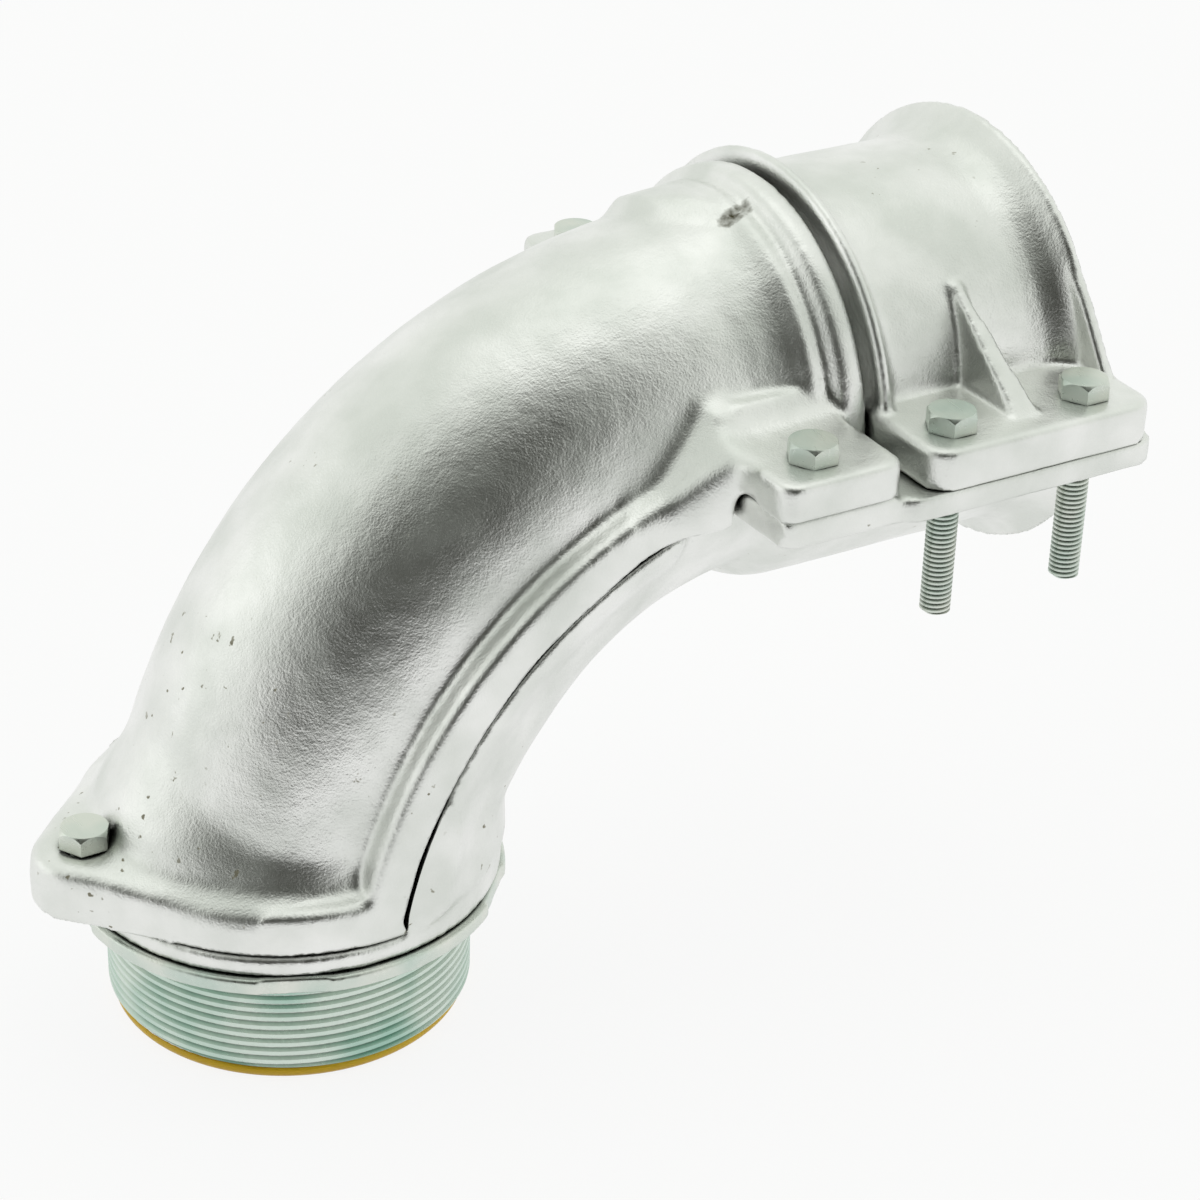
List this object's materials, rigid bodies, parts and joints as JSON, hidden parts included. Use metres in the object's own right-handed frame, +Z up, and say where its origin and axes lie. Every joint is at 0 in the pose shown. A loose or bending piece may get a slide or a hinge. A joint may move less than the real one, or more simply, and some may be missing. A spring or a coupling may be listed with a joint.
{
  "type": "right-angle squeeze conduit connector",
  "caption": "Right-angle connector that clamps flexible metal conduit under a bolted saddle, with a lift-off elbow cover, threaded hub, locknut and insulated throat.",
  "frame": {"origin": "centre of the hub's shoulder face, on the axis of the hub thread", "axes": "+Z up the hub axis into the elbow, +X out along the clamped conduit, +Y across the bend away from the viewer of the picture"},
  "size_m": [0.333, 0.2, 0.2496],
  "materials": {
    "casting": "zinc-plated rough casting",
    "fastener": "bright zinc plate",
    "nut": "zinc plate",
    "liner": "moulded plastic"
  },
  "bodies": {
    "fitting": {"body": "casting", "throat_liner": "liner"},
    "cover": {"cover": "casting"},
    "saddle": {"saddle": "casting"},
    "locknut": {"locknut": "nut"},
    "cover_screw_near": {"cover_screw_near": "fastener"},
    "cover_screw_far": {"cover_screw_far": "fastener"},
    "cover_screw_heel": {"cover_screw_heel": "fastener"},
    "clamp_bolt_near_inner": {"clamp_bolt_near_inner": "fastener"},
    "clamp_bolt_near_outer": {"clamp_bolt_near_outer": "fastener"},
    "clamp_bolt_far_inner": {"clamp_bolt_far_inner": "fastener"},
    "clamp_bolt_far_outer": {"clamp_bolt_far_outer": "fastener"}
  },
  "joints": [
    {"name": "cover_lift", "type": "slide", "parent": "fitting", "child": "cover", "axis": [0, 0, 1], "range_m": [0, 0.04]},
    {"name": "saddle_lift", "type": "slide", "parent": "fitting", "child": "saddle", "axis": [0, 0, 1], "range_m": [0, 0.012]},
    {"name": "locknut_turn", "type": "hinge", "parent": "fitting", "child": "locknut", "pos_m": [0, 0, -0.003], "axis": [0, 0, 1], "continuous": true},
    {"name": "cover_screw_near_turn", "type": "hinge", "parent": "cover", "child": "cover_screw_near", "pos_m": [0.1295, -0.085, 0.146], "axis": [0, 0, 1], "continuous": true},
    {"name": "cover_screw_far_turn", "type": "hinge", "parent": "cover", "child": "cover_screw_far", "pos_m": [0.1495, 0.085, 0.146], "axis": [0, 0, 1], "continuous": true},
    {"name": "cover_screw_heel_turn", "type": "hinge", "parent": "cover", "child": "cover_screw_heel", "pos_m": [-0.0665, 0, 0.025], "axis": [0, 0, 1], "continuous": true},
    {"name": "clamp_bolt_near_inner_turn", "type": "hinge", "parent": "saddle", "child": "clamp_bolt_near_inner", "pos_m": [0.179, -0.085, 0.145], "axis": [0, 0, 1], "range_deg": [-5, 2730]},
    {"name": "clamp_bolt_near_outer_turn", "type": "hinge", "parent": "saddle", "child": "clamp_bolt_near_outer", "pos_m": [0.2285, -0.085, 0.145], "axis": [0, 0, 1], "range_deg": [-5, 2730]},
    {"name": "clamp_bolt_far_inner_turn", "type": "hinge", "parent": "saddle", "child": "clamp_bolt_far_inner", "pos_m": [0.179, 0.085, 0.145], "axis": [0, 0, 1], "range_deg": [-5, 2730]},
    {"name": "clamp_bolt_far_outer_turn", "type": "hinge", "parent": "saddle", "child": "clamp_bolt_far_outer", "pos_m": [0.2285, 0.085, 0.145], "axis": [0, 0, 1], "range_deg": [-5, 2730]}
  ],
  "couplings": [
    {"joint": "clamp_bolt_near_inner_turn", "follows": "saddle_lift", "rad_per_m": 3957.9},
    {"joint": "clamp_bolt_near_outer_turn", "follows": "saddle_lift", "rad_per_m": 3957.9},
    {"joint": "clamp_bolt_far_inner_turn", "follows": "saddle_lift", "rad_per_m": 3957.9},
    {"joint": "clamp_bolt_far_outer_turn", "follows": "saddle_lift", "rad_per_m": 3957.9}
  ]
}
